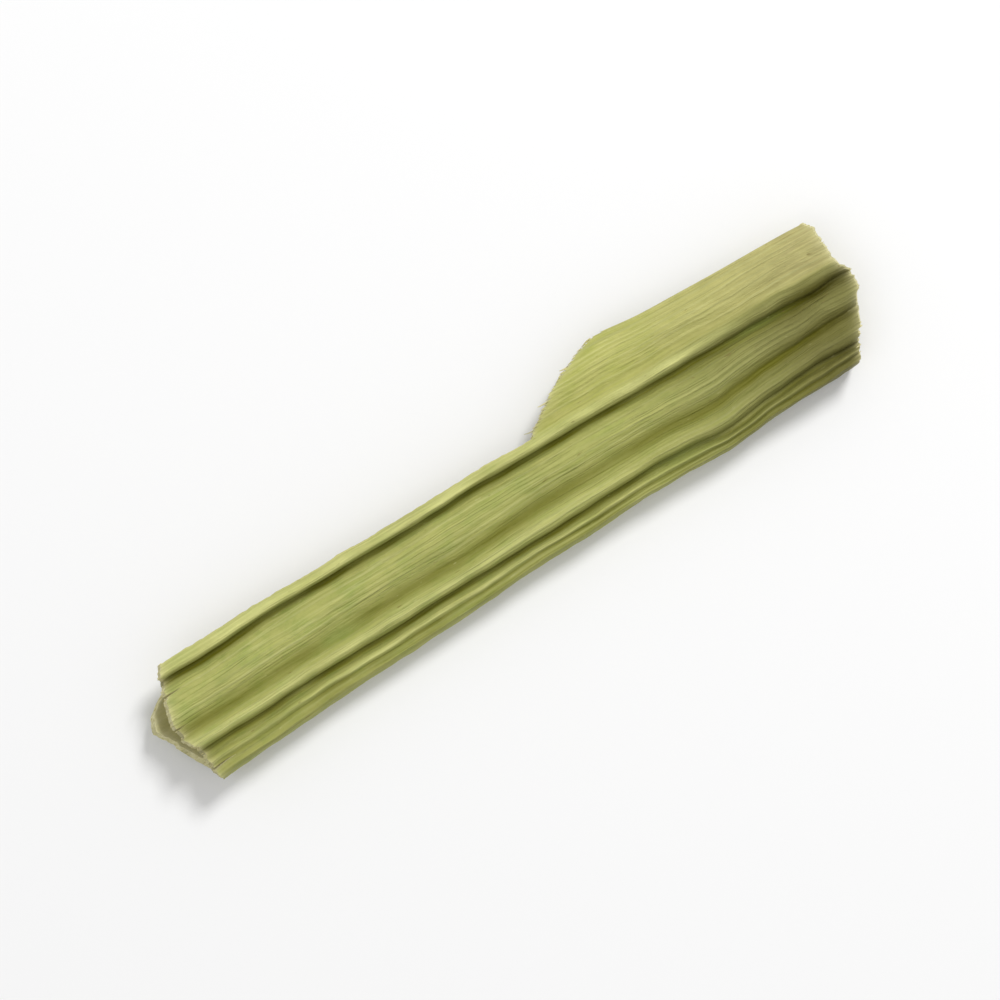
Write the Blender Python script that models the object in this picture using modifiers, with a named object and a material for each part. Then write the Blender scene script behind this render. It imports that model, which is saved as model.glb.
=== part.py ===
"""A cut and dried length of lemongrass stalk: one leaf sheath, folded along its length.

The sheath grew as one ribbed sheet, so it is one solid. It starts as a flat blank, which is
given its thickness and then folded: a ribbed upper layer, a folded side, and a lower layer
that it lies on. A flap beyond the rim rib is torn off over the left half. +X runs along the
piece towards the flap's end, +Y across it to the flap, and +Z is up. The origin is at the
bottom centre of its box. Lengths are in millimetres until they are placed.
"""

import math
import random
from typing import NamedTuple

import bmesh
import bpy
import numpy as np

MM = 0.001
SEED = 11
PIECE = "leaf_sheath"

# Where the main lines lie across the sheath: at mid length, drift for each mm along, bend, and
# how far each is pushed towards the folded side at a kink in the right half. The flap's edge
# is pushed the other way instead, into a hump beside the tear.
FLAP_EDGE = (5.08, -0.078, 0.0, -0.20)
RIM = (2.12, -0.0375, -0.0004, 0.0)
GROOVE = (1.77, -0.0448, -0.0008, 0.0)
VALLEY = (-0.44, -0.018, 0.0, 0.28)
RIDGE = (-1.24, -0.0225, 0.0, 0.30)
CREASE = (-1.73, -0.027, -0.0003, 0.32)
SIDE = (-2.80, -0.006, -0.0006, 0.16)
LOWER_EDGE = (1.55, -0.02, 0.0, 0.0)
KINK_AT = 9.7
HUMP_AT = 6.8
KINK_LENGTH = 1.8

# The wall, and the slit left between the two layers where it turns at the side
WALL = 0.62
SLIT_TURN = 0.20
ROWS = 28
FOLD_COLUMNS = 7

# The cut ends, as y and x from the folded side to the flap: neither cut is square. The lower
# layer's lip shows past the upper one on the left, with its tip at (LIP_TIP, LIP_TIP_Y).
LEFT_EDGE = ((-2.9, -18.20), (-1.0, -18.32), (-0.4, -18.66), (0.4, -18.72), (2.0, -18.22), (3.1, -17.72))
RIGHT_EDGE = ((-3.0, 16.45), (-1.0, 17.60), (0.0, 18.12), (0.8, 18.30), (1.3, 17.95), (3.4, 17.90))
LEFT_CUT = -18.7
RIGHT_CUT = 17.8
LIP_TIP = -19.70
LIP_TIP_Y = 0.55
LIP_SLOPE = 0.45
LIP_ROUND = 0.70
FRAY = 0.08

# How the dried piece has moved: its ends rise, its layers part at the left, its lines wander,
# and some of its ribs sink towards the right end
FLAT_HALF = 9.0
END_RISE = 0.30
GAPE = 0.28
GAPE_LENGTH = 7.0
WANDER = 0.020
HEAVE = 0.03
SINK_FROM = 3.0

# The tear that took the left half of the flap: along the rim, then up across the flap
TEAR_MARGIN = 0.44
TEAR_START = 1.9
TEAR_END = 7.2
TEAR_CURVE = 1.6
TEAR_STEP = 0.70
TEAR_JAG = 0.07
RIM_JAG = 0.03
CUTTER_REACH = 14.0
CUTTER_X = 24.0

SHEATH_COLOUR = (0.41, 0.42, 0.13, 1.0)
SHEATH_ROUGHNESS = 0.78


class Line(NamedTuple):
    """A rib's crest, a groove's bottom or an edge that runs the length of the sheath."""

    start: tuple
    end: tuple
    share: float
    outer: float
    inner: float
    sharp: bool = False
    tuck: float = 0.0
    sink: float = 0.0
    columns: int = 2


# From the flap's free edge to the folded side. Each line lies a share of the way from one main
# line to another, and has the height of its outer and its inner face.
UPPER_LAYER = (
    Line(FLAP_EDGE, RIM, 0.00, outer=1.76, inner=1.14, columns=3),
    Line(FLAP_EDGE, RIM, 0.45, outer=2.00, inner=1.34, columns=2),
    Line(FLAP_EDGE, RIM, 0.78, outer=1.88, inner=1.22, columns=2),
    Line(RIM, GROOVE, 0.00, outer=2.28, inner=1.42, sink=0.18, columns=3),
    Line(GROOVE, VALLEY, 0.00, outer=1.68, inner=1.04, sharp=True, columns=2),
    Line(GROOVE, VALLEY, 0.22, outer=2.04, inner=1.32, columns=2),
    Line(GROOVE, VALLEY, 0.52, outer=2.12, inner=1.40, columns=4),
    Line(VALLEY, RIDGE, 0.00, outer=1.84, inner=1.16, sink=0.14, columns=3),
    Line(RIDGE, CREASE, 0.00, outer=2.24, inner=1.42, columns=3),
    Line(CREASE, SIDE, 0.00, outer=1.62, inner=1.02, sharp=True, tuck=0.25, columns=2),
    Line(CREASE, SIDE, 0.34, outer=1.98, inner=1.16, tuck=0.50, columns=2),
    Line(CREASE, SIDE, 0.55, outer=1.80, inner=1.08, tuck=0.75, columns=1),
    Line(CREASE, SIDE, 0.74, outer=1.80, inner=1.06, tuck=1.00),
)

# From the folded side to the lower layer's own free edge. It lies on two flat strips of its outer
# face, at height 0, with a shallow groove beside each.
LOWER_LAYER = (
    Line(SIDE, CREASE, 0.30, outer=0.00, inner=0.64, tuck=1.00, columns=2),
    Line(CREASE, LOWER_EDGE, 0.13, outer=0.10, inner=0.70, tuck=0.40, columns=2),
    Line(CREASE, LOWER_EDGE, 0.25, outer=0.00, inner=0.62, columns=2),
    Line(CREASE, LOWER_EDGE, 0.52, outer=0.00, inner=0.62, columns=2),
    Line(CREASE, LOWER_EDGE, 0.64, outer=0.10, inner=0.70, columns=2),
    Line(CREASE, LOWER_EDGE, 0.76, outer=0.00, inner=0.62, columns=1),
    Line(CREASE, LOWER_EDGE, 0.92, outer=0.00, inner=0.62, columns=1),
    Line(CREASE, LOWER_EDGE, 1.00, outer=0.05, inner=0.65),
)

UPPER_COLUMNS = sum(line.columns for line in UPPER_LAYER[:-1])
LOWER_COLUMNS = sum(line.columns for line in LOWER_LAYER[:-1])
COLUMNS = UPPER_COLUMNS + FOLD_COLUMNS + LOWER_COLUMNS


def mix(a, b, share):
    return a + (b - a) * share


def main_line(line, x):
    """Where a main line lies across the sheath, x mm along it."""
    middle, drift, bend, push = line
    pushed_at = HUMP_AT if push < 0 else KINK_AT
    kink = push * math.exp(-(((x - pushed_at) / KINK_LENGTH) ** 2))
    return middle + drift * x + bend * x * x - kink


def across(line, x):
    return mix(main_line(line.start, x), main_line(line.end, x), line.share)


def slope_shape(t, from_sharp, to_sharp):
    """How a face rises from one line to the next: level at round lines, steep at sharp ones."""
    if from_sharp and to_sharp:
        return t
    if from_sharp:
        return math.sin(t * math.pi / 2)
    if to_sharp:
        return 1 - math.cos(t * math.pi / 2)
    return (1 - math.cos(t * math.pi)) / 2


def wander(x):
    """The slow sideways wave that every line along the dried sheath shares."""
    return WANDER * (math.sin(x * 0.47 + 0.6) + 0.6 * math.sin(x * 1.13 + 2.1))


def upper_lift(x):
    """The upper layer heaves gently, and stands off the lower one at the left end."""
    opening = max(0.0, (LEFT_CUT + GAPE_LENGTH - x) / GAPE_LENGTH)
    return GAPE * opening**2 + HEAVE * (math.sin(x * 0.36 + 1.0) + 1)


def end_rise(x):
    """The whole piece lies on its middle, and both ends have curled up off the ground."""
    beyond = max(0.0, abs(x) - FLAT_HALF) / (RIGHT_CUT - FLAT_HALF)
    return END_RISE * beyond**2


def layer_points(lines, x, lift, tuck):
    """The outer and inner (y, z) at each column from a layer's first line to before its last."""
    sunk = max(0.0, (x - SINK_FROM) / (RIGHT_CUT - SINK_FROM))
    points = []
    for line, following in zip(lines, lines[1:]):
        for step in range(line.columns):
            t = step / line.columns
            rise = slope_shape(t, line.sharp, following.sharp)
            y = mix(across(line, x), across(following, x), t)
            inner_y = y + tuck * mix(line.tuck, following.tuck, t)
            level = lift - sunk * mix(line.sink, following.sink, rise)
            outer = mix(line.outer, following.outer, rise) + level
            inner = mix(line.inner, following.inner, rise) + level
            points.append(((y, outer), (inner_y, inner)))
    return points


def fold_points(x, lift, tuck):
    """The same round the folded side, where each face turns on its own half ellipse."""
    top, bottom = UPPER_LAYER[-1], LOWER_LAYER[0]
    y = across(top, x)
    outer_reach = y - main_line(SIDE, x)
    points = []
    for step in range(FOLD_COLUMNS):
        turn = math.pi * step / FOLD_COLUMNS
        pair = []
        faces = (
            (y, outer_reach, top.outer, bottom.outer),
            (y + tuck, SLIT_TURN, top.inner, bottom.inner),
        )
        for start, reach, high, low in faces:
            middle, half = (high + lift + low) / 2, (high + lift - low) / 2
            pair.append((start - reach * math.sin(turn), middle + half * math.cos(turn)))
        points.append(tuple(pair))
    return points


def section(x):
    """The outer and inner (y, z) at every column of the blank, x mm along the sheath."""
    lift = upper_lift(x)
    fold_start = across(UPPER_LAYER[-1], x)
    tuck = main_line(SIDE, x) + WALL + SLIT_TURN - fold_start
    last = LOWER_LAYER[-1]
    points = layer_points(UPPER_LAYER, x, lift, tuck)
    points += fold_points(x, lift, tuck)
    points += layer_points(LOWER_LAYER, x, 0.0, tuck)
    points.append(((across(last, x), last.outer), (across(last, x), last.inner)))
    shift, rise = wander(x), end_rise(x)
    return [tuple((y + shift, z + rise) for y, z in pair) for pair in points]


def cut_at(edge, y):
    """Where a cut end crosses a column at y."""
    return float(np.interp(y, *zip(*edge)))


def left_end(y, lower):
    """The left end of a column at y: lower is 0 for the upper layer and 1 for the lower one."""
    beyond_tip = y - LIP_TIP_Y
    turn = LIP_ROUND * beyond_tip if beyond_tip > 0 else -LIP_SLOPE
    return mix(cut_at(LEFT_EDGE, y), LIP_TIP + turn * beyond_tip, lower)


def column_ends():
    """The left and right end of each column, with the small uneven lengths of torn fibres."""
    draw = random.Random(SEED)
    left_section, right_section = section(LEFT_CUT), section(RIGHT_CUT)
    ends = []
    for column in range(COLUMNS + 1):
        lower = min(1.0, max(0.0, (column - UPPER_COLUMNS) / FOLD_COLUMNS))
        left = left_end(left_section[column][0][0], lower)
        right = cut_at(RIGHT_EDGE, right_section[column][0][0])
        ends.append((left + draw.uniform(-FRAY, FRAY), right + draw.uniform(-FRAY, FRAY)))
    return ends


def flat_blank():
    """The blank before it is folded: a grid two units square, with its thickness below it."""
    bpy.ops.mesh.primitive_grid_add(x_subdivisions=ROWS, y_subdivisions=COLUMNS, size=2)
    blank = bpy.context.object
    blank.name = blank.data.name = PIECE
    wall = blank.modifiers.new("wall", "SOLIDIFY")
    wall.thickness = WALL
    wall.offset = -1
    bpy.ops.object.modifier_apply(modifier=wall.name)
    return blank


def fold_blank(blank):
    """Moves each point of the blank to its place on the folded sheath."""
    ends = column_ends()
    for vertex in blank.data.vertices:
        row_share = (vertex.co.x + 1) / 2
        column = round((1 - vertex.co.y) / 2 * COLUMNS)
        face = 0 if vertex.co.z > -WALL / 2 else 1
        left, right = ends[column]
        x = mix(left, right, row_share)
        y, z = section(x)[column][face]
        vertex.co = (x * MM, y * MM, z * MM)
    blank.data.update()


def tear_outline():
    """The edge of the torn-off strip in plan: along the rim, then up across the flap."""
    draw = random.Random(SEED + 1)
    points = []
    steps = round((TEAR_END + CUTTER_X) / TEAR_STEP)
    for step in range(steps + 1):
        x = mix(-CUTTER_X, TEAR_END, step / steps)
        rim = main_line(RIM, x) + wander(x) + TEAR_MARGIN
        left_to_climb = min(1.0, (TEAR_END - x) / (TEAR_END - TEAR_START))
        climb = 1 - left_to_climb**TEAR_CURVE
        edge = main_line(FLAP_EDGE, x) + TEAR_MARGIN / 2
        jag = TEAR_JAG if climb > 0 else RIM_JAG
        points.append((x, mix(rim, edge, climb) + draw.uniform(-jag, jag)))
    return points + [(TEAR_END, CUTTER_REACH), (-CUTTER_X, CUTTER_REACH)]


def tear_cutter():
    """A tall block with the torn-off strip's outline, to be taken from the sheath."""
    curve = bpy.data.curves.new("torn_strip_outline", "CURVE")
    curve.dimensions = "2D"
    curve.fill_mode = "BOTH"
    curve.extrude = 5 * MM
    outline = tear_outline()
    spline = curve.splines.new("POLY")
    spline.points.add(len(outline) - 1)
    spline.use_cyclic_u = True
    for point, (x, y) in zip(spline.points, outline):
        point.co = (x * MM, y * MM, 0, 1)
    outline_object = bpy.data.objects.new("torn_strip_outline", curve)
    bpy.context.scene.collection.objects.link(outline_object)
    evaluated = outline_object.evaluated_get(bpy.context.evaluated_depsgraph_get())
    mesh = bpy.data.meshes.new_from_object(evaluated)
    bpy.data.objects.remove(outline_object)
    bm = bmesh.new()
    bm.from_mesh(mesh)
    bmesh.ops.remove_doubles(bm, verts=bm.verts, dist=0.00001)
    bmesh.ops.recalc_face_normals(bm, faces=bm.faces)
    bm.to_mesh(mesh)
    bm.free()
    cutter = bpy.data.objects.new("torn_strip_cutter", mesh)
    cutter.hide_render = True
    cutter.display_type = "WIRE"
    return cutter


def sheath_material():
    material = bpy.data.materials.new("dried_sheath")
    material.use_nodes = True
    shader = material.node_tree.nodes["Principled BSDF"]
    shader.inputs["Base Color"].default_value = SHEATH_COLOUR
    shader.inputs["Roughness"].default_value = SHEATH_ROUGHNESS
    shader.inputs["Metallic"].default_value = 0.0
    return material


def set_on_origin(piece, cutter):
    """Places the finished piece with the bottom centre of its box at the origin."""
    bpy.context.view_layer.update()
    evaluated = piece.evaluated_get(bpy.context.evaluated_depsgraph_get())
    points = [vertex.co for vertex in evaluated.data.vertices]
    low = [min(point[axis] for point in points) for axis in range(3)]
    high = [max(point[axis] for point in points) for axis in range(3)]
    place = (-(low[0] + high[0]) / 2, -(low[1] + high[1]) / 2, -low[2])
    piece.location = place
    cutter.location = place


def collection_of(name, thing):
    collection = bpy.data.collections.new(name)
    bpy.context.scene.collection.children.link(collection)
    for holder in thing.users_collection:
        holder.objects.unlink(thing)
    collection.objects.link(thing)


def build():
    for thing in list(bpy.data.objects):
        bpy.data.objects.remove(thing, do_unlink=True)
    sheath = flat_blank()
    fold_blank(sheath)
    sheath.data.materials.append(sheath_material())
    cutter = tear_cutter()
    collection_of("lemongrass_stalk_piece", sheath)
    collection_of("cutters", cutter)
    tear = sheath.modifiers.new("tear", "BOOLEAN")
    tear.operation = "DIFFERENCE"
    tear.solver = "EXACT"
    tear.object = cutter
    sheath.data.shade_smooth()
    sheath.data.set_sharp_from_angle(angle=math.radians(40))
    set_on_origin(sheath, cutter)


build()
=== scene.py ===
import math
import random
from typing import NamedTuple

import bpy
import numpy as np
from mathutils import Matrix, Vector, noise


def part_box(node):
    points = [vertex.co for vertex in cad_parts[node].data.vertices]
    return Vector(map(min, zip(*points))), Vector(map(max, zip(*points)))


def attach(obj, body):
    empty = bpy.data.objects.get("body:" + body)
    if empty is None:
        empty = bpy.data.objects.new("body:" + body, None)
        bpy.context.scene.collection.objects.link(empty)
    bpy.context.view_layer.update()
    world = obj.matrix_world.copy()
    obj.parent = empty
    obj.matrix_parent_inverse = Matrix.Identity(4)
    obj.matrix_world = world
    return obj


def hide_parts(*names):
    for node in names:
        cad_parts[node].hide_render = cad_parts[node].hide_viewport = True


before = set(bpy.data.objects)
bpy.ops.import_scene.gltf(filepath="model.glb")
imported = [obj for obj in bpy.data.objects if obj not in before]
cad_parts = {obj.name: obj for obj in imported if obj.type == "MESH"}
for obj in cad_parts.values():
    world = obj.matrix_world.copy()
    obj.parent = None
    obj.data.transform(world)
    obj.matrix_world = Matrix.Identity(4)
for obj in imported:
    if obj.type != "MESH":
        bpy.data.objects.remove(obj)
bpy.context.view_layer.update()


# The leaf sheath: a cut and dried length of lemongrass stalk, which grew as one ribbed sheet and is
# folded along its length, with a flap torn off over the left half. It is made as a flat blank, cut
# to its torn outline, given its thickness and then folded. Sizes in this section are in mm.
MM = 0.001
SEED = 11
NODE = "leaf_sheath"
ROWS = 200
UPPER_PITCH = 0.046
LOWER_PITCH = 0.11
FOLD_COLUMNS = 26
WALL = 0.34
SLIT_TURN = 0.26

# Main lines across the sheath: at mid length, drift for each mm along, bend, and how far each is
# pushed towards the folded side at a kink in the right half. The flap's edge is pushed the other
# way instead, into a hump beside the tear.
FLAP_EDGE = (5.08, -0.078, 0.0, -0.20)
RIM = (2.12, -0.0375, -0.0004, 0.0)
GROOVE = (1.77, -0.0448, -0.0008, 0.0)
VALLEY = (-0.44, -0.018, 0.0, 0.28)
RIDGE = (-1.24, -0.0225, 0.0, 0.30)
CREASE = (-1.73, -0.027, -0.0003, 0.32)
SIDE = (-2.80, -0.006, -0.0006, 0.16)
LOWER_EDGE = (1.55, -0.02, 0.0, 0.0)
KINK_AT = 9.7
HUMP_AT = 6.8
KINK_LENGTH = 1.8


class Line(NamedTuple):
    """A rib's crest, a groove's bottom or an edge that runs the length of the sheath."""

    start: tuple
    end: tuple
    share: float
    outer: float
    inner: float
    sharp: bool = False
    tuck: float = 0.0
    overhang: float = 0.0
    sink: float = 0.0


FLAP_FREE = Line(FLAP_EDGE, RIM, 0.00, 1.74, 1.46)
FLAP_CROWN = Line(FLAP_EDGE, RIM, 0.45, 1.98, 1.62)
FLAP_FOOT = Line(FLAP_EDGE, RIM, 0.80, 1.84, 1.50)
RIM_CREST = Line(RIM, GROOVE, 0.00, 2.26, 1.74, overhang=0.16, sink=0.18)
GROOVE_FOOT = Line(RIM, GROOVE, 0.86, 1.58, 1.32, sharp=True)
GROOVE_BED = Line(GROOVE, VALLEY, 0.035, 1.57, 1.30, sharp=True)
PLATEAU_EDGE = Line(GROOVE, VALLEY, 0.18, 1.97, 1.62)
PLATEAU = Line(GROOVE, VALLEY, 0.52, 2.08, 1.70)
VALLEY_BED = Line(VALLEY, RIDGE, 0.00, 1.76, 1.44, sink=0.14)
RIDGE_CREST = Line(RIDGE, CREASE, 0.00, 2.20, 1.66, overhang=0.16, sink=0.10)
CREASE_FOOT = Line(RIDGE, CREASE, 0.82, 1.50, 1.24, sharp=True, tuck=0.05)
CREASE_BED = Line(CREASE, SIDE, 0.02, 1.48, 1.20, sharp=True, tuck=0.10)
STRIP_RIDGE = Line(CREASE, SIDE, 0.34, 1.94, 1.32, tuck=0.50)
STRIP_GROOVE = Line(CREASE, SIDE, 0.54, 1.72, 1.34, tuck=0.77)
STRIP_RIB = Line(CREASE, SIDE, 0.74, 1.78, 1.38, tuck=1.00)
UPPER_LINES = (
    FLAP_FREE, FLAP_CROWN, FLAP_FOOT, RIM_CREST, GROOVE_FOOT, GROOVE_BED, PLATEAU_EDGE, PLATEAU,
    VALLEY_BED, RIDGE_CREST, CREASE_FOOT, CREASE_BED, STRIP_RIDGE, STRIP_GROOVE, STRIP_RIB,
)
UNDER_TURN = Line(SIDE, CREASE, 0.30, 0.00, 0.34, tuck=1.00)
UNDER_GROOVE = Line(CREASE, LOWER_EDGE, 0.13, 0.10, 0.40, tuck=0.40)
UNDER_GROOVE_2 = Line(CREASE, LOWER_EDGE, 0.64, 0.10, 0.40)
LOWER_LINES = (
    UNDER_TURN,
    UNDER_GROOVE,
    Line(CREASE, LOWER_EDGE, 0.25, 0.00, 0.34),
    Line(CREASE, LOWER_EDGE, 0.52, 0.00, 0.34),
    UNDER_GROOVE_2,
    Line(CREASE, LOWER_EDGE, 0.76, 0.00, 0.34),
    Line(CREASE, LOWER_EDGE, 0.92, 0.00, 0.33),
    Line(CREASE, LOWER_EDGE, 1.00, 0.05, 0.36),
)

# The cut ends, as y and x from the folded side to the flap, the lip of the lower layer and the tear
LEFT_EDGE = (
    (-2.9, -18.18), (-1.0, -18.30), (-0.4, -18.64), (0.4, -18.70), (2.0, -18.20), (3.1, -17.70),
)
RIGHT_EDGE = (
    (-3.0, 16.40), (-1.0, 17.55), (0.0, 18.07), (0.8, 18.25), (1.3, 17.90), (3.3, 17.86), (3.8, 17.60),
)
LEFT_CUT = -18.7
LIP_TIP = -19.66
LIP_TIP_Y = 0.55
LIP_SLOPE = 0.45
LIP_ROUND = 0.70
LIP_CURL = 0.60
LIP_CURL_LENGTH = 1.6
RIGHT_CUT = 17.8
CUT_SLANT = 0.20
LIP_SLANT = 1.2
RIGHT_SLANT = 0.6
SLANT_REACH = 0.4
TEAR_START = 1.9
TEAR_END = 7.2
TEAR_CURVE = 1.6
RIM_SHARE = 0.85
RIM_JAG = 0.022

# The strands broke unevenly: strands in a bundle, and how far bundles and single strands stray
BUNDLE = 5
LEFT_UNEVEN = (0.05, 0.02)
RIGHT_UNEVEN = (0.06, 0.02)
TEAR_UNEVEN = (0.07, 0.04)

# How the dried piece has moved. Waves are given as share, turn for each mm and starting turn.
FLAT_HALF = 9.0
END_RISE = 0.30
GAPE = 0.28
GAPE_LENGTH = 7.0
WANDER = 0.020
WANDER_WAVES = ((1.0, 0.47, 0.6), (0.6, 1.13, 2.1))
HEAVE = 0.03
HEAVE_WAVE = (0.36, 1.0)
SINK_FROM = 3.0
SHRIVEL_FROM = 8.0


def mix(a, b, share):
    return a + (b - a) * share


def bump(value, middle, width):
    """A soft bump of height 1 around a middle value."""
    return np.exp(-(((value - middle) / width) ** 2))


def ramp(value, start, length):
    """Rises from 0 at a start value to 1 so far on."""
    return np.clip((value - start) / length, 0, 1)


def main_line(line, x):
    """Where a main line lies across the sheath, x mm along it."""
    middle, drift, bend, push = line
    kink = push * bump(x, HUMP_AT if push < 0 else KINK_AT, KINK_LENGTH)
    return middle + drift * x + bend * x * x - kink


def across(line, x):
    return mix(main_line(line.start, x), main_line(line.end, x), line.share)


def slope_shape(t, from_sharp, to_sharp):
    """How a face rises from one line to the next: level at round lines, steep at sharp ones."""
    if from_sharp and to_sharp:
        return t
    if to_sharp:
        return 1 - math.cos(t * math.pi / 2)
    return (1 - math.cos(t * math.pi)) / 2


def upper_lift(x):
    opening = np.maximum(0.0, (LEFT_CUT + GAPE_LENGTH - x) / GAPE_LENGTH)
    turn, start = HEAVE_WAVE
    return GAPE * opening**2 + HEAVE * (np.sin(x * turn + start) + 1)


def lower_lift(x):
    return LIP_CURL * np.maximum(0.0, (LEFT_CUT + LIP_CURL_LENGTH / 2 - x) / LIP_CURL_LENGTH) ** 2


def wander(x):
    return WANDER * sum(share * np.sin(x * turn + start) for share, turn, start in WANDER_WAVES)


def end_rise(x):
    beyond = np.maximum(0.0, np.abs(x) - FLAT_HALF) / (RIGHT_CUT - FLAT_HALF)
    return END_RISE * beyond**2


class Column(NamedTuple):
    """One fine strand of the blank, a share of the way from one line to the next."""

    layer: str
    line: Line
    following: Line
    step: float


def columns_between(layer, lines, pitch):
    """The columns of the blank from a layer's first line to before its last."""
    found = []
    for line, following in zip(lines, lines[1:]):
        width = math.hypot(across(line, 0) - across(following, 0), line.outer - following.outer)
        count = max(2, round(width / pitch))
        found += [Column(layer, line, following, step / count) for step in range(count)]
    return found


columns = columns_between("upper", UPPER_LINES, UPPER_PITCH)
upper_count = len(columns)
columns += [Column("fold", STRIP_RIB, UNDER_TURN, step / FOLD_COLUMNS) for step in range(FOLD_COLUMNS)]
columns += columns_between("lower", LOWER_LINES, LOWER_PITCH)
columns.append(Column("lower", LOWER_LINES[-1], LOWER_LINES[-1], 0.0))
column_count = len(columns)


def column_course(column, x):
    """The (y, z) of the outer face and of the inner face along one column, at each x."""
    layer, line, following, t = column
    lift, low_lift = upper_lift(x), lower_lift(x)
    tuck = main_line(SIDE, x) + WALL + SLIT_TURN - across(STRIP_RIB, x)
    if layer == "fold":
        y, turn = across(line, x), math.pi * t
        course = []
        faces = (
            (y, y - main_line(SIDE, x), line.outer, following.outer),
            (y + tuck, SLIT_TURN, line.inner, following.inner),
        )
        for start, reach, high, low in faces:
            middle, half = (high + lift + low + low_lift) / 2, (high + lift - low - low_lift) / 2
            course.append((start - reach * math.sin(turn), middle + half * math.cos(turn)))
        return course
    leaning = t + line.overhang * math.sin(math.pi * t)
    rise = slope_shape(t, line.sharp, following.sharp)
    y = mix(across(line, x), across(following, x), leaning)
    inner_y = mix(across(line, x), across(following, x), t) + tuck * mix(line.tuck, following.tuck, t)
    sunk = mix(line.sink, following.sink, rise) * np.maximum(0.0, (x - SINK_FROM) / (RIGHT_CUT - SINK_FROM))
    level = lift - sunk if layer == "upper" else low_lift
    outer = mix(line.outer, following.outer, rise) + level
    return [(y, outer), (inner_y, mix(line.inner, following.inner, rise) + level)]


def course_at(x):
    """Arrays of outer y, outer z, inner y and inner z for an array of x with a column each."""
    parts = [column_course(column, x[:, index]) for index, column in enumerate(columns)]
    outer_y, outer_z, inner_y, inner_z = (
        np.stack([parts[index][face][axis] + 0 * x[:, index] for index in range(column_count)], axis=1)
        for face in (0, 1)
        for axis in (0, 1)
    )
    return outer_y + wander(x), outer_z + end_rise(x), inner_y + wander(x), inner_z + end_rise(x)


# Where each column lies across the sheath laid flat, and where each line falls on it
mid_y, mid_z, _, _ = course_at(np.zeros((1, column_count)))
steps_across = np.hypot(np.diff(mid_y[0]), np.diff(mid_z[0]))
lay = np.concatenate([[0.0], np.cumsum(steps_across)])


def lay_of(line):
    return next(lay[index] for index, column in enumerate(columns) if column.line is line)


# Each column is a strand of fibre that broke at its own length, in bundles of a few
draw = np.random.default_rng(SEED)


def uneven_lengths(bundle_spread, strand_spread):
    bundles = draw.uniform(-bundle_spread, bundle_spread, column_count // BUNDLE + 2)
    strands = draw.uniform(-strand_spread, strand_spread, column_count)
    return bundles[np.arange(column_count) // BUNDLE] + strands


left_y = course_at(np.full((1, column_count), LEFT_CUT))[0][0]
right_y = course_at(np.full((1, column_count), RIGHT_CUT))[0][0]
lower_share = np.clip((np.arange(column_count) - upper_count) / FOLD_COLUMNS, 0, 1)
is_lower = lower_share > 0.5
beyond_tip = left_y - LIP_TIP_Y
lip = LIP_TIP + np.where(beyond_tip > 0, LIP_ROUND * beyond_tip, -LIP_SLOPE) * beyond_tip
left_ends = mix(np.interp(left_y, *zip(*LEFT_EDGE)), lip, lower_share)
left_ends = left_ends + uneven_lengths(*LEFT_UNEVEN)
right_ends = np.interp(right_y, *zip(*RIGHT_EDGE)) + uneven_lengths(*RIGHT_UNEVEN)
row_share = np.linspace(0, 1, ROWS + 1)[:, None]
xs = left_ends[None, :] + (right_ends - left_ends)[None, :] * row_share

# The tear runs along the rim and then climbs across the flap to its free edge
rim_lay = lay_of(RIM_CREST)
tear_column = int(np.searchsorted(lay, rim_lay * RIM_SHARE))
climbed = np.clip(1 - lay / lay[tear_column], 0, 1)
tear_x = mix(TEAR_START, TEAR_END, 1 - (1 - climbed) ** (1 / TEAR_CURVE))
tear_x = tear_x + uneven_lengths(*TEAR_UNEVEN)
in_flap = np.arange(column_count) < tear_column
first_row = np.where(in_flap, (xs < tear_x[None, :]).sum(axis=0), 0)
for index in range(tear_column):
    xs[first_row[index], index] = tear_x[index]

# Short splits run in from the left end between the fibres: place across, length and opening
SPLITS = ((rim_lay + 1.55, 0.9, 0.05), (rim_lay + 3.05, 0.6, 0.04), (lay_of(STRIP_GROOVE), 1.3, 0.06))
SPLIT_GRIP = 4.0
SPLIT_LIFT = 0.06
row_length = (RIGHT_CUT - LEFT_CUT) / ROWS


def split_shape():
    """Rows that each split deletes, and how far it moves the strands beside it in y and in z."""
    gone, moved, lifted = {}, np.zeros(xs.shape), np.zeros(xs.shape)
    place = np.arange(column_count)
    for at, length, opening in SPLITS:
        column, rows = int(np.searchsorted(lay, at)), round(length / row_length)
        gone[column] = rows
        side = np.where(place <= column, 1.0, -1.0)
        from_split = np.where(place <= column, column - place, place - column - 1)
        for row in range(rows + 1):
            open_share = 1 - row / rows
            gap = opening * open_share - UPPER_PITCH * (1 - open_share)
            moved[row] += side * gap / 2 * np.exp(-from_split / SPLIT_GRIP)
            lifted[row] += side * SPLIT_LIFT * open_share**2 * np.exp(-from_split / (2 * SPLIT_GRIP))
    return gone, moved, lifted


split_rows, split_moved, split_lifted = split_shape()


def is_gone(row, column):
    """Whether the face after this row and column is torn away or lies in a split."""
    if column < tear_column and row < max(first_row[column], first_row[column + 1]):
        return True
    return row < split_rows.get(column, 0)


def ripple(along, over, seed):
    """Smooth noise over the sheath, with waves of about 1 / along and 1 / over mm."""
    values = np.empty(xs.shape)
    for row in range(xs.shape[0]):
        for column in range(column_count):
            spot = Vector((xs[row, column] * along, lay[column] * over, seed))
            values[row, column] = noise.noise(spot)
    return values


def ripples(*parts):
    """The sum of several ripples, each given as height, along, over and seed."""
    return sum(height * ripple(along, over, seed) for height, along, over, seed in parts)


outer_y, outer_z, inner_y, inner_z = course_at(xs)

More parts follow.
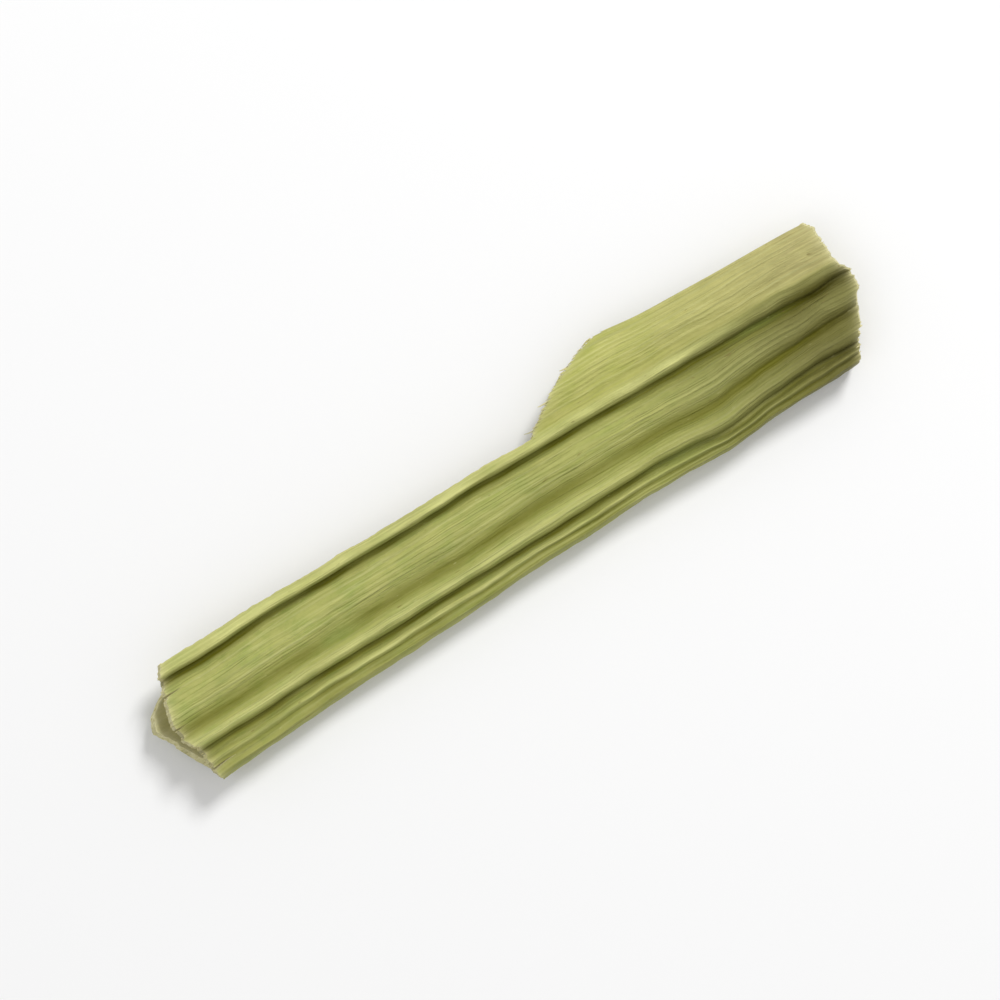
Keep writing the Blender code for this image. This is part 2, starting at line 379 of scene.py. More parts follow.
# Each line strays a little on its own, and less so at the sheath's outermost edges
EDGE_HOLD_REACH = 0.8
SHRIVELLED_SWAY = 1.2
JAG_STRANDS = 3
edge_hold = 1 - np.exp(-np.minimum(lay, np.abs(lay - lay_of(UNDER_TURN))) / EDGE_HOLD_REACH)[None, :]
shrivel = ramp(xs, SHRIVEL_FROM, RIGHT_CUT - SHRIVEL_FROM)
sway = ripples((0.07, 0.28, 0.55, 21.0), (0.035, 0.9, 0.9, 22.0)) * (1 + SHRIVELLED_SWAY * shrivel)
torn_edge = np.exp(-np.maximum(0, np.arange(column_count) - tear_column) / JAG_STRANDS)[None, :]
torn_edge = torn_edge * ~in_flap[None, :] * (xs < TEAR_START)
jag = 2 * RIM_JAG * ripples((1.0, 0.8, 0.0, 23.0), (1.0, 3.1, 0.0, 24.0)) * torn_edge
shift_y = sway * edge_hold + jag + split_moved

# Veins stand out of both faces, and the dried sheath has buckled a little between them. The outer
# face starts a little inside the solid's, to leave room for the veins.
VEIN_SPACING = (0.20, 0.38)
MOST_VEINS = 70
VEIN_HEIGHT = (0.012, 0.040)
VEIN_WIDTH = (0.034, 0.052)
VEIN_SWELL = 0.9
INNER_VEINS = 0.4
FLAP_MARGIN = 0.35
FLAP_BLEND = 0.10
FLAP_SMOOTHING = 0.35
ROOM_FOR_VEINS = 0.050
FOLD_SIDEWAYS = 0.1
vein_places = np.cumsum(draw.uniform(*VEIN_SPACING, MOST_VEINS))
vein_places = vein_places[vein_places < lay[-1]]
veins = np.zeros(xs.shape)
swell = 1 + VEIN_SWELL * ripple(0.30, 1.4, 3.0)
for place in vein_places:
    height, width = draw.uniform(*VEIN_HEIGHT), draw.uniform(*VEIN_WIDTH)
    veins += height * bump(lay, place, width)[None, :] * swell
fibres = ripples((0.014, 0.9, 9.5, 8.0))
flap = 1 / (1 + np.exp((lay - rim_lay + FLAP_MARGIN) / FLAP_BLEND))[None, :] + 0 * xs
dents = ripples((0.016, 1.7, 2.6, 12.0), (0.010, 4.0, 4.5, 13.0))
buckle = ripples((0.050, 0.22, 0.75, 5.0), (0.028, 0.8, 1.6, 6.0))
buckle += shrivel**2 * ripples((0.080, 1.1, 1.1, 9.0), (0.030, 3.0, 2.2, 10.0))
slope_y, slope_z = np.gradient(outer_y, axis=1), np.gradient(outer_z, axis=1)
slope = np.hypot(slope_y, slope_z)
sideways = mix(FOLD_SIDEWAYS, 1.0, np.clip(lower_share * FOLD_COLUMNS / BUNDLE, 0, 1))[None, :]
normal_y, normal_z = slope_z / slope * sideways, -slope_y / slope
relief = (veins + fibres) * (1 - FLAP_SMOOTHING * flap) + dents - ROOM_FOR_VEINS

# Towards the right end the valley narrows to a crisp groove, and its upper slope fills out
NARROWS_FROM = 7.0
NARROWS_OVER = 6.5
VALLEY_SHIFT = 0.07
SLOPE_FILL, SLOPE_AT, SLOPE_WIDTH = 0.15, -0.50, 0.30
VALLEY_CUT, VALLEY_CUT_WIDTH = 0.11, 0.12
narrowing = ramp(xs, NARROWS_FROM, NARROWS_OVER)
from_valley = (lay - lay_of(VALLEY_BED))[None, :] - VALLEY_SHIFT * narrowing
filled_slope = SLOPE_FILL * bump(from_valley, SLOPE_AT, SLOPE_WIDTH)
relief += narrowing * (filled_slope - VALLEY_CUT * bump(from_valley, 0.0, VALLEY_CUT_WIDTH))
settle = np.where(is_lower, 0.0, 1.0)[None, :]
lifted = split_lifted * settle
outer_rise = np.where(is_lower, np.minimum(relief, 0), relief) + buckle * settle
inner_rise = buckle * settle - veins * INNER_VEINS
outer_y = outer_y + normal_y * (relief + buckle * settle) + shift_y
outer_z = outer_z + normal_z * outer_rise + lifted
inner_y = inner_y + normal_y * inner_rise + shift_y
inner_z = inner_z + normal_z * inner_rise + lifted

# The blank: a grid with a row along for each step and a column across for each fibre
bpy.ops.object.select_all(action="DESELECT")
bpy.ops.mesh.primitive_grid_add(x_subdivisions=ROWS, y_subdivisions=column_count - 1, size=2)
sheath = bpy.context.object
sheath.name = sheath.data.name = "dried_sheath"
bpy.ops.object.mode_set(mode="EDIT")
bpy.ops.mesh.select_all(action="DESELECT")
bpy.ops.object.mode_set(mode="OBJECT")
for face in sheath.data.polygons:
    row = int((face.center.x + 1) / 2 * ROWS)
    column = int((1 - face.center.y) / 2 * (column_count - 1))
    face.select = is_gone(row, column)
bpy.ops.object.mode_set(mode="EDIT")
bpy.ops.mesh.delete(type="FACE")
bpy.ops.object.mode_set(mode="OBJECT")
wall = sheath.modifiers.new("wall", "SOLIDIFY")
wall.thickness = WALL
wall.offset = -1
wall.material_offset = 1
wall.material_offset_rim = 2
for slot_name in ("outer_skin", "inner_skin", "cut_fibre"):
    sheath.data.materials.append(bpy.data.materials.new(slot_name))
bpy.ops.object.modifier_apply(modifier=wall.name)

# Fold it: each point goes from the flat blank to its place on the sheath. The cut faces slant,
# so that the inner face reaches a little further out than the outer one.
count = len(sheath.data.vertices)
flat = np.empty(count * 3)
sheath.data.vertices.foreach_get("co", flat)
flat = flat.reshape(-1, 3)
rows_of = np.rint((flat[:, 0] + 1) / 2 * ROWS).astype(int)
columns_of = np.rint((1 - flat[:, 1]) / 2 * (column_count - 1)).astype(int)
on_outer = flat[:, 2] > -WALL / 2
from_left = xs - left_ends[None, :]
from_right = right_ends[None, :] - xs
left_slant = (1 - (1 + LIP_SLANT) * lower_share)[None, :] * np.exp(-from_left / SLANT_REACH)
right_slant = RIGHT_SLANT * (1 - lower_share)[None, :] * np.exp(-from_right / SLANT_REACH)
slant = CUT_SLANT * (left_slant - right_slant)
half_slant = np.where(on_outer, 1, -1) * slant[rows_of, columns_of] / 2
placed = np.empty((count, 3))
placed[:, 0] = xs[rows_of, columns_of] + half_slant
placed[:, 1] = np.where(on_outer, outer_y[rows_of, columns_of], inner_y[rows_of, columns_of])
placed[:, 2] = np.where(on_outer, outer_z[rows_of, columns_of], inner_z[rows_of, columns_of])
placed *= MM
node_low, node_high = (np.array(corner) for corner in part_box(NODE))
shift = (node_low + node_high) / 2 - (placed.min(axis=0) + placed.max(axis=0)) / 2
shift[2] = node_low[2] - placed[:, 2].min()
placed += shift
sheath.data.vertices.foreach_set("co", placed.ravel())
sheath.data.update()

# What the finish needs to know of each point: how it lies, and what is crest with its painted highlight,
# hollow with its painted shade, or edge
LAY_LENGTH = 40.0
LAY_WIDTH = 16.0
lay_map = sheath.data.uv_layers.new(name="lay")
corner_points = np.empty(len(sheath.data.loops), dtype=int)
sheath.data.loops.foreach_get("vertex_index", corner_points)
lay_points = np.stack([xs[rows_of, columns_of] / LAY_LENGTH + 0.5, lay[columns_of] / LAY_WIDTH], axis=1)
lay_map.uv.foreach_set("vector", lay_points[corner_points].astype(np.float32).ravel())


def line_mask(marks):
    """A mask over the strands from (line, strength, width) marks."""
    mask = np.zeros(column_count)
    for line, strength, width in marks:
        mask = np.maximum(mask, strength * bump(lay, lay_of(line), width))
    return mask[None, :]


def band(line, beside, width):
    """A soft band that runs beside a line, towards the flap where it is below 0."""
    return bump(lay, lay_of(line) + beside, width)[None, :]


# Crests: the ribs are pale and carry a painted highlight, which fades as they run into the shrivelled end.
# Painted light also lifts the plateau's lower slope in the right half and the crease where it opens. A
# mask's bands are given by line, strength and width, or by line, place beside it and width, and then where
# they show.
left_end_fade = ramp(xs, -18.0, 8.0)
rim_fade = 1 - 0.75 * ramp(xs, 9.0, 5.0)
ridge_fade = 1 - 0.95 * ramp(xs, -3.0, 11.0)
kink_stretch = bump(xs, 11.0, 3.2)
after_kink = bump(xs, 11.5, 3.2)
patchy = np.clip(0.85 + 0.9 * ripple(0.55, 0.8, 31.0), 0.2, 1.15)
crest_and_painted_light = line_mask(((RIM_CREST, 1.00, 0.26),)) * rim_fade * mix(0.55, 1.0, left_end_fade)
crest_and_painted_light = np.maximum(crest_and_painted_light, line_mask(((RIDGE_CREST, 0.55, 0.22),)) * ridge_fade)
crest_and_painted_light = np.maximum(crest_and_painted_light, line_mask(((STRIP_RIDGE, 0.95, 0.15),)) * ridge_fade * left_end_fade) * patchy
crest_and_painted_light = np.maximum(crest_and_painted_light, band(PLATEAU, 0.25, 0.45) * 0.14 * ramp(xs, 6.0, 3.0))
open_crease = band(CREASE_FOOT, -0.05, 0.28) * kink_stretch
crest_and_painted_light = np.maximum(crest_and_painted_light, open_crease * 0.40)

# Hollows: painted shade darkens the grooves and creases, and the crease less so where it opens at the kink
hollow_shade = line_mask(
    (
        (FLAP_FOOT, 0.15, 0.20),
        (GROOVE_FOOT, 0.95, 0.17),
        (GROOVE_BED, 1.00, 0.18),
        (CREASE_FOOT, 0.95, 0.18),
        (CREASE_BED, 1.00, 0.14),
        (STRIP_GROOVE, 0.62, 0.13),
        (STRIP_RIB, 0.42, 0.45),
        (UNDER_GROOVE, 0.50, 0.18),
        (UNDER_GROOVE_2, 0.50, 0.18),
    )
)
hollow_shade = np.clip(hollow_shade * (0.95 + 0.5 * ripple(0.5, 0.6, 32.0)), 0, 1)
hollow_shade *= 1 - 0.62 * open_crease
valley_shade = mix(0.72, 0.92, narrowing) * (1 + 0.35 * ripple(0.35, 0.5, 33.0))
# Painted shade also falls in the valley, beside the crease, below the groove and on the rim's flank; a
# patch on the second rib is darker
for shade in (
    band(CREASE_BED, 0.22, 0.16) * 0.50 * after_kink,
    bump(from_valley, 0.0, mix(0.38, 0.19, narrowing)) * valley_shade,
    band(PLATEAU_EDGE, -0.05, 0.24) * mix(0.14, 0.52, ramp(xs, 4.0, 9.0)),
    band(GROOVE_FOOT, -0.50, 0.36) * 0.78 * ramp(xs, 14.0, 2.0),
    band(RIDGE_CREST, 0.00, 0.40) * 0.20 * bump(xs, 6.2, 1.9),
    band(STRIP_RIDGE, -0.16, 0.20) * mix(0.45, 0.14, ramp(xs, -14.0, 6.0)),
):
    hollow_shade = np.maximum(hollow_shade, shade)

# Spots that stayed greener as it dried: line, place along, length and width
GREEN_SPOTS = (
    (CREASE_BED, 7.2, 1.5, 0.75),
    (GROOVE_BED, 13.4, 1.3, 0.32),
    (VALLEY_BED, -10.2, 1.0, 0.40),
)
GREEN_LIGHTENS = 0.40
green = np.zeros(xs.shape)
for line, place, length, width in GREEN_SPOTS:
    green = np.maximum(green, bump(xs, place, length) * bump(lay, lay_of(line), width)[None, :])
hollow_shade = np.clip(hollow_shade * (1 - GREEN_LIGHTENS * green), 0, 1)

# Edges: the cut ends and the tear are frayed and pale, the sheath's own free edges only just
FAR = 9.0
EDGE_REACH = 0.22
RIM_EDGE_SHARPNESS = 3
FREE_EDGE_PALE = 0.7
FREE_EDGE_REACH = 0.06
VEIN_FULL = 0.030
from_tear = np.where(in_flap[None, :], xs - tear_x[None, :], FAR)
from_rim = np.abs(lay - lay[tear_column])[None, :] * RIM_EDGE_SHARPNESS
from_rim = np.where(xs < TEAR_START, from_rim, FAR)
nearest = np.minimum(np.minimum(from_left, from_right), np.minimum(from_tear, from_rim))
edge = np.exp(-np.maximum(nearest, 0) / EDGE_REACH)
free_edges = np.minimum(lay, lay[-1] - lay)[None, :] + 0 * xs
edge = np.maximum(edge, FREE_EDGE_PALE * np.exp(-free_edges / FREE_EDGE_REACH))
vein = np.clip(veins / VEIN_FULL, 0, 1)
masks = {"crest_and_painted_light": crest_and_painted_light, "hollow_shade": hollow_shade, "flap": flap, "vein": vein, "green": green, "edge": edge}
for name, values in masks.items():
    attribute = sheath.data.attributes.new(name, "FLOAT", "POINT")
    attribute.data.foreach_set("value", values[rows_of, columns_of].astype(np.float32))


def tone(*shown):
    """A colour given as the 0 to 255 values that a screen shows."""
    return (*(((value / 255 + 0.055) / 1.055) ** 2.4 for value in shown), 1.0)


def add_node(tree, kind, values=(), **settings):
    """A new node with its settings, and values or links for its named or numbered inputs."""
    new = tree.nodes.new(kind)
    for name, value in settings.items():
        setattr(new, name, value)
    for name, value in values:
        if isinstance(value, bpy.types.NodeSocket):
            tree.links.new(value, new.inputs[name])
        else:
            new.inputs[name].default_value = value
    return new


def blend_colours(tree, share, first, second, way="MIX"):
    values = ((0, share), (6, first), (7, second))
    return add_node(tree, "ShaderNodeMix", values, data_type="RGBA", blend_type=way).outputs[2]


def reckon(tree, way, first, second):
    return add_node(tree, "ShaderNodeMath", ((0, first), (1, second)), operation=way).outputs[0]


def stretch_range(tree, value, low, high, to_low=0.0, to_high=1.0):
    values = (
        ("Value", value), ("From Min", low), ("From Max", high), ("To Min", to_low), ("To Max", to_high),
    )
    return add_node(tree, "ShaderNodeMapRange", values).outputs[0]


def attribute_value(tree, name):
    return add_node(tree, "ShaderNodeAttribute", attribute_name=name).outputs["Fac"]


def stretched_noise(tree, spot, scale, detail, rough):
    """Noise with its own number of waves for each mm along, across and up."""
    values = ((0, spot), (1, scale))
    stretched = add_node(tree, "ShaderNodeVectorMath", values, operation="MULTIPLY").outputs[0]
    values = (("Vector", stretched), ("Scale", 1.0), ("Detail", detail), ("Roughness", rough))
    return add_node(tree, "ShaderNodeTexNoise", values).outputs["Fac"]


def grain_group():
    """The sheath's grain: streaks and fibres that run along it, cells, mottling and flecks."""
    tree = bpy.data.node_groups.new("sheath_grain", "ShaderNodeTree")
    tree.interface.new_socket("Lay", in_out="INPUT", socket_type="NodeSocketVector")
    entry = tree.nodes.new("NodeGroupInput")
    leaving = tree.nodes.new("NodeGroupOutput")
    patterns = (
        ("Streak", (0.09, 1.9, 1.0), 4.0, 0.62),
        ("Fibre", (0.35, 8.0, 1.0), 3.0, 0.60),
        ("Cells", (4.0, 15.0, 1.0), 2.0, 0.60),
        ("Mottle", (0.75, 1.30, 1.0), 5.0, 0.62),
        ("Fleck", (1.60, 5.50, 1.0), 2.0, 0.50),
        ("Thread", (0.06, 3.2, 1.0), 1.0, 0.50),
    )
    for name, scale, detail, rough in patterns:
        tree.interface.new_socket(name, in_out="OUTPUT", socket_type="NodeSocketFloat")
        pattern = stretched_noise(tree, entry.outputs["Lay"], scale, detail, rough)
        tree.links.new(pattern, leaving.inputs[name])
    return tree


grain = grain_group()


def lay_in_mm(tree):
    """The place on the sheath laid flat, in mm along and across."""
    spot = add_node(tree, "ShaderNodeUVMap", uv_map="lay").outputs[0]
    values = ((0, spot), (1, (LAY_LENGTH, LAY_WIDTH, 1.0)))
    return add_node(tree, "ShaderNodeVectorMath", values, operation="MULTIPLY").outputs[0]


def start_material(material):
    material.use_nodes = True
    tree = material.node_tree
    grained = add_node(tree, "ShaderNodeGroup", node_tree=grain)
    tree.links.new(lay_in_mm(tree), grained.inputs["Lay"])
    return tree, tree.nodes["Principled BSDF"], grained.outputs


def finish_material(tree, shader, colour, rough, height, depth):
    tree.links.new(colour, shader.inputs["Base Color"])
    tree.links.new(rough, shader.inputs["Roughness"])
    raised = add_node(tree, "ShaderNodeBump", (("Height", height), ("Distance", depth)))
    tree.links.new(raised.outputs[0], shader.inputs["Normal"])


# Among these, the crest colour carries a painted highlight, the hollow tones are painted shade and the aged
# olive is partly painted shadow
OLIVE, STRAW, PALE_PATCH = tone(154, 160, 82), tone(174, 175, 98), tone(186, 184, 110)
STILL_GREEN, GREEN_SPOT, AGED_SHADOWED_OLIVE = tone(136, 156, 74), tone(124, 138, 64), tone(107, 103, 49)
FLAP_OLIVE, FLAP_BEIGE, FLAP_PATCH = tone(174, 177, 90), tone(180, 168, 116), tone(196, 189, 120)
FURROW, PALE_STRAND, PALE_VEIN = tone(116, 122, 52), tone(206, 205, 138), tone(196, 196, 134)
PALE_CREST_AND_HIGHLIGHT, HOLLOW_SHADE, END_HOLLOW_SHADE = tone(214, 214, 138), tone(100, 99, 0), tone(76, 72, 10)
FRAYED, FLECK, SCUFF = tone(208, 202, 150), tone(116, 100, 50), tone(208, 206, 150)
LOW_GLOSS = 0.25
OUTER_GRAIN, INNER_GRAIN, CUT_GRAIN, FIBRE_GRAIN = 0.08 * MM, 0.03 * MM, 0.05 * MM, 0.01 * MM
FURROW_AT, STRAND_AT = 0.44, 0.55


def outer_skin(material):
    """The outer face: olive and straw streaks, pale ribs with a painted highlight, painted shade in grooves
    and creases, an end darkened partly by age and partly by painted shadow, and a beige flap.
    """
    tree, shader, grained = start_material(material)
    streak = stretch_range(tree, grained["Streak"], 0.30, 0.70)
    fibre = stretch_range(tree, grained["Fibre"], 0.25, 0.75)
    mottle = stretch_range(tree, grained["Mottle"], 0.32, 0.68)
    along = add_node(tree, "ShaderNodeSeparateXYZ", ((0, lay_in_mm(tree)),)).outputs[0]
    colour = blend_colours(tree, streak, OLIVE, STRAW)
    colour = blend_colours(tree, reckon(tree, "MULTIPLY", mottle, 0.45), colour, PALE_PATCH)
    green_share = reckon(
        tree,
        "MULTIPLY",
        stretch_range(tree, grained["Mottle"], 0.54, 0.34, 0.0, 0.42),
        stretch_range(tree, along, 10.0, 24.0, 1.0, 0.35),
    )
    colour = blend_colours(tree, green_share, colour, STILL_GREEN)
    to_end = stretch_range(tree, along, 27.0, 37.5)
    flap_tone = blend_colours(tree, to_end, FLAP_OLIVE, FLAP_BEIGE)
    flap_tone = blend_colours(tree, reckon(tree, "MULTIPLY", mottle, 0.55), flap_tone, FLAP_PATCH)
    flap_share = reckon(tree, "MULTIPLY", attribute_value(tree, "flap"), 0.85)
    colour = blend_colours(tree, flap_share, colour, flap_tone)
    from_furrow = reckon(tree, "ABSOLUTE", reckon(tree, "SUBTRACT", grained["Thread"], FURROW_AT), 0.0)
    furrow_share = stretch_range(tree, from_furrow, 0.024, 0.004, 0.0, 0.28)
    off_flap = stretch_range(tree, attribute_value(tree, "flap"), 0.0, 1.0, 1.0, 0.45)
    furrow_share = reckon(tree, "MULTIPLY", furrow_share, off_flap)
    colour = blend_colours(tree, furrow_share, colour, FURROW)
    from_strand = reckon(tree, "ABSOLUTE", reckon(tree, "SUBTRACT", grained["Thread"], STRAND_AT), 0.0)
    strand_share = stretch_range(tree, from_strand, 0.022, 0.004, 0.0, 0.30)
    colour = blend_colours(tree, strand_share, colour, PALE_STRAND)
    vein_share = reckon(tree, "MULTIPLY", attribute_value(tree, "vein"), 0.30)
    colour = blend_colours(tree, vein_share, colour, PALE_VEIN)
    # Darker towards the right end, partly aged colour and partly painted shadow; the flap is mostly spared
    aged_and_shadowed = stretch_range(tree, along, 26.0, 35.0, 0.0, 0.90)
    flap_unaged_unshadowed = stretch_range(tree, attribute_value(tree, "flap"), 0.0, 1.0, 1.0, 0.04)
    colour = blend_colours(tree, reckon(tree, "MULTIPLY", aged_and_shadowed, flap_unaged_unshadowed), colour, AGED_SHADOWED_OLIVE)
    # Pale ribs with a painted highlight, and painted light on the plateau's slope and in the opened crease
    fibrous = stretch_range(tree, fibre, 0, 1, 0.65, 0.95)
    crest_and_light_share = reckon(tree, "MULTIPLY", attribute_value(tree, "crest_and_painted_light"), fibrous)
    colour = blend_colours(tree, crest_and_light_share, colour, PALE_CREST_AND_HIGHLIGHT)
    colour = blend_colours(tree, 1.0, colour, stretch_range(tree, fibre, 0, 1, 0.80, 1.08), "MULTIPLY")
    # Painted shade in the grooves and creases, darker still near the right end
    hollow_shade_share = reckon(tree, "MULTIPLY", attribute_value(tree, "hollow_shade"), 0.96)
    near_end = stretch_range(tree, along, 33.0, 37.0)
    hollow_shade_tone = blend_colours(tree, near_end, HOLLOW_SHADE, END_HOLLOW_SHADE)
    colour = blend_colours(tree, hollow_shade_share, colour, hollow_shade_tone)
    green_spot = reckon(tree, "MULTIPLY", attribute_value(tree, "green"), 0.42)
    colour = blend_colours(tree, green_spot, colour, GREEN_SPOT)
    frayed = stretch_range(tree, fibre, 0, 1, 0.2, 0.8)
    edge_share = reckon(tree, "MULTIPLY", attribute_value(tree, "edge"), frayed)
    colour = blend_colours(tree, edge_share, colour, FRAYED)
    fleck_share = stretch_range(tree, grained["Fleck"], 0.70, 0.76, 0.0, 0.55)
    colour = blend_colours(tree, fleck_share, colour, FLECK)
    scuff_share = stretch_range(tree, grained["Fleck"], 0.30, 0.24, 0.0, 0.22)
    colour = blend_colours(tree, scuff_share, colour, SCUFF)
    rough = stretch_range(tree, fibre, 0, 1, 0.46, 0.72)
    fine = reckon(tree, "MULTIPLY", grained["Fibre"], 0.60)
    height = reckon(tree, "ADD", fine, reckon(tree, "MULTIPLY", grained["Cells"], 0.40))
    height = reckon(tree, "SUBTRACT", height, reckon(tree, "MULTIPLY", furrow_share, 0.60))
    shader.inputs["Specular IOR Level"].default_value = LOW_GLOSS
    finish_material(tree, shader, colour, rough, height, OUTER_GRAIN)


def inner_skin(material):
    """The inner face: paler and smoother, straw with greenish fibres."""
    tree, shader, grained = start_material(material)
    fibre = stretch_range(tree, grained["Fibre"], 0.25, 0.75)
    streak = stretch_range(tree, grained["Streak"], 0.30, 0.70)
    colour = blend_colours(tree, streak, tone(176, 170, 108), tone(200, 192, 138))
    colour = blend_colours(tree, reckon(tree, "MULTIPLY", fibre, 0.35), colour, tone(152, 152, 90))
    edge_share = reckon(tree, "MULTIPLY", attribute_value(tree, "edge"), 0.8)
    colour = blend_colours(tree, edge_share, colour, tone(226, 221, 176))
    rough = stretch_range(tree, fibre, 0, 1, 0.42, 0.62)
    finish_material(tree, shader, colour, rough, grained["Fibre"], INNER_GRAIN)


def cut_fibre(material):
    """The cut and torn edges: pale, rough ends of fibre, drawn out along the sheath."""
    tree, shader, grained = start_material(material)
    spot = add_node(tree, "ShaderNodeTexCoord").outputs["Object"]
    strands = stretched_noise(tree, spot, (900.0, 9000.0, 9000.0), 3.0, 0.6)
    strands = stretch_range(tree, strands, 0.30, 0.70)
    patches = stretch_range(tree, grained["Mottle"], 0.3, 0.7)
    colour = blend_colours(tree, strands, tone(190, 183, 122), tone(238, 232, 190))
    colour = blend_colours(tree, reckon(tree, "MULTIPLY", patches, 0.35), colour, tone(176, 172, 104))
    # Painted shade where the cut runs through grooves and creases
    shaded = reckon(tree, "MULTIPLY", attribute_value(tree, "hollow_shade"), 0.5)
    colour = blend_colours(tree, shaded, colour, tone(84, 80, 24))
    rough = stretch_range(tree, strands, 0, 1, 0.80, 0.95)
    finish_material(tree, shader, colour, rough, strands, CUT_GRAIN)


SHARP_FROM = 50
outer_skin(sheath.data.materials["outer_skin"])
inner_skin(sheath.data.materials["inner_skin"])
cut_fibre(sheath.data.materials["cut_fibre"])
bpy.ops.object.select_all(action="DESELECT")
sheath.select_set(True)
bpy.context.view_layer.objects.active = sheath
bpy.ops.object.shade_smooth_by_angle(angle=math.radians(SHARP_FROM))
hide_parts(NODE)
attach(sheath, "root")


# The loose fibres: broken strands that stand out of the cut ends and along the tear. Each is a
# thin tapering tube, drawn as a curve with a bevel and rooted inside the sheath's wall.
FIBRE_RADIUS = 0.032
FIBRE_ROOT = 0.14
FIBRE_STEPS = 4
ROOT_STRAY = 0.05
LEAN = 0.25
DROOP = (-0.25, 0.15)
GIRTH = (0.7, 1.4)
TAPER = 0.65
LEFT_FIBRE = (0.00, 0.11)
RIGHT_FIBRE = (0.00, 0.10)
SHORT_FIBRE = (0.0, 0.14)
LONG_FIBRE = (0.25, 0.55)
LONG_CHANCE = 0.16
END_EVERY = 3
TEAR_EVERY = 2
fibre_draw = random.Random(SEED + 2)


def wall_middle(row, column):
    """The middle of the sheath's wall at a row and column, in the model's own place."""
    y = (outer_y[row, column] + inner_y[row, column]) / 2
    z = (outer_z[row, column] + inner_z[row, column]) / 2
    return Vector((xs[row, column], y, z)) * MM + Vector(shift)


def broken_end(row, column, outward, length, curve):
    """One strand from inside the wall out past its end, drooping and leaning a little."""
    stray = fibre_draw.uniform(-ROOT_STRAY, ROOT_STRAY)
    root = wall_middle(row, column) + Vector((0, 0, stray)) * MM
    lean, droop = fibre_draw.uniform(-LEAN, LEAN), fibre_draw.uniform(*DROOP)
    girth = fibre_draw.uniform(*GIRTH) * FIBRE_RADIUS
    spline = curve.splines.new("POLY")
    spline.points.add(FIBRE_STEPS)
    for step, spot in enumerate(spline.points):
        reach = step / FIBRE_STEPS
        run = -FIBRE_ROOT + (FIBRE_ROOT + length) * reach
        swing = max(0.0, run) * reach
        spot.co = (*(root + Vector((outward * run, lean * swing, droop * swing)) * MM), 1)
        spot.radius = girth * (1 - TAPER * reach**2)


fibre_curve = bpy.data.curves.new("broken_fibres", "CURVE")
fibre_curve.dimensions = "3D"
fibre_curve.bevel_depth = MM
fibre_curve.bevel_resolution = 1
fibre_curve.use_fill_caps = True
for column in range(tear_column, column_count, END_EVERY):
    broken_end(0, column, -1, fibre_draw.uniform(*LEFT_FIBRE), fibre_curve)
for column in range(0, column_count, END_EVERY):
    broken_end(ROWS, column, 1, fibre_draw.uniform(*RIGHT_FIBRE), fibre_curve)
for column in range(TEAR_EVERY, tear_column, TEAR_EVERY):
    length = fibre_draw.uniform(*(LONG_FIBRE if fibre_draw.random() < LONG_CHANCE else SHORT_FIBRE))
    broken_end(int(first_row[column]), column, -1, length, fibre_curve)
broken_fibres = bpy.data.objects.new("broken_fibres", fibre_curve)
bpy.context.scene.collection.objects.link(broken_fibres)
bpy.ops.object.select_all(action="DESELECT")
broken_fibres.select_set(True)
bpy.context.view_layer.objects.active = broken_fibres
bpy.ops.object.convert(target="MESH")
broken_fibres = bpy.context.object
fibre_material = bpy.data.materials.new("broken_fibre")
fibre_material.use_nodes = True
tree = fibre_material.node_tree
spot = add_node(tree, "ShaderNodeTexCoord").outputs["Object"]
uneven = stretched_noise(tree, spot, (700.0, 2500.0, 2500.0), 2.0, 0.5)
patches = stretch_range(tree, uneven, 0.35, 0.65)
colour = blend_colours(tree, patches, tone(184, 176, 112), tone(220, 212, 164))
rough = stretch_range(tree, uneven, 0, 1, 0.7, 0.9)
finish_material(tree, tree.nodes["Principled BSDF"], colour, rough, uneven, FIBRE_GRAIN)
broken_fibres.data.materials.append(fibre_material)
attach(broken_fibres, "root")


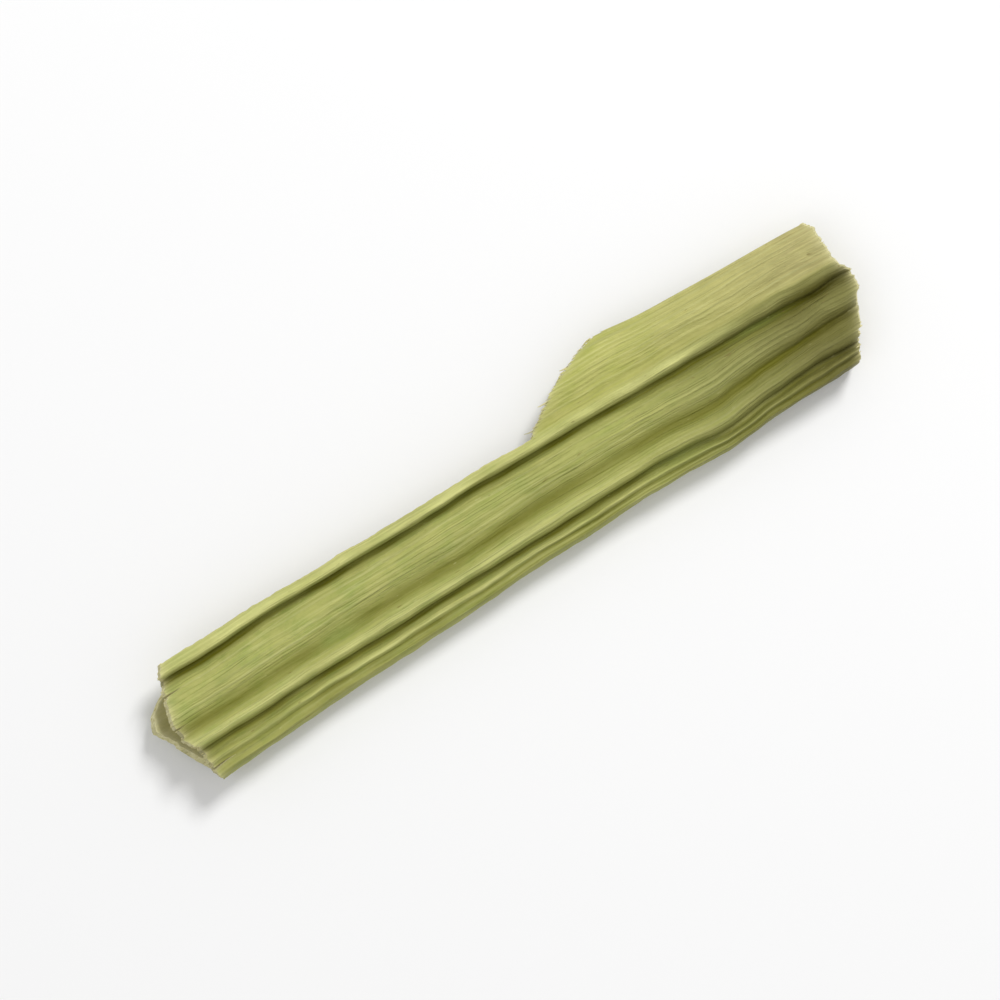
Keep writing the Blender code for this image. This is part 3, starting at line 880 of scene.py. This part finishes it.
# The stage: a plain pale floor, soft light from the upper right of the picture, and a camera
# that looks straight down with the piece turned as it lies in the photograph.
PIECE_TURN = math.radians(33.4)
FRAME_WIDTH = 0.046
LENS = 100.0
SENSOR = 36.0
FLOOR_WIDTH = 1.2
FLOOR_GREY = 0.86
FLOOR_ROUGH = 0.9
SKY_STRENGTH = 0.58

bpy.ops.object.select_all(action="DESELECT")
bpy.ops.mesh.primitive_plane_add(size=FLOOR_WIDTH)
floor = bpy.context.object
floor.name = "floor"
floor_material = bpy.data.materials.new("pale_floor")
floor_material.use_nodes = True
floor_shader = floor_material.node_tree.nodes["Principled BSDF"]
floor_shader.inputs["Base Color"].default_value = (FLOOR_GREY, FLOOR_GREY, FLOOR_GREY, 1)
floor_shader.inputs["Roughness"].default_value = FLOOR_ROUGH
floor.data.materials.append(floor_material)


def soft_light(name, towards, height, distance, size, power):
    """An area light that shines on the piece, from a direction given in the picture's frame."""
    angle = math.radians(towards) - PIECE_TURN
    rise = math.radians(height)
    way = Vector((math.cos(angle) * math.cos(rise), math.sin(angle) * math.cos(rise), math.sin(rise)))
    light = bpy.data.lights.new(name, "AREA")
    light.shape = "DISK"
    light.size = size
    light.energy = power
    lamp = bpy.data.objects.new(name, light)
    lamp.location = way * distance
    lamp.rotation_euler = way.to_track_quat("Z", "Y").to_euler()
    bpy.context.scene.collection.objects.link(lamp)


soft_light("key_light", towards=62, height=46, distance=0.40, size=0.12, power=1.05)
soft_light("fill_light", towards=215, height=60, distance=0.45, size=0.35, power=0.22)
world = bpy.data.worlds.new("studio")
world.use_nodes = True
world.node_tree.nodes["Background"].inputs["Color"].default_value = (1, 1, 1, 1)
world.node_tree.nodes["Background"].inputs["Strength"].default_value = SKY_STRENGTH
bpy.context.scene.world = world
bpy.context.scene.view_settings.view_transform = "Standard"

camera_data = bpy.data.cameras.new("camera")
camera_data.lens = LENS
camera_data.sensor_width = SENSOR
camera_data.clip_start = 0.005
camera_data.clip_end = 10
camera = bpy.data.objects.new("camera", camera_data)
camera.location = (0, 0, FRAME_WIDTH * LENS / SENSOR)
camera.rotation_euler = (0, 0, -PIECE_TURN)
bpy.context.scene.collection.objects.link(camera)
bpy.context.scene.camera = camera
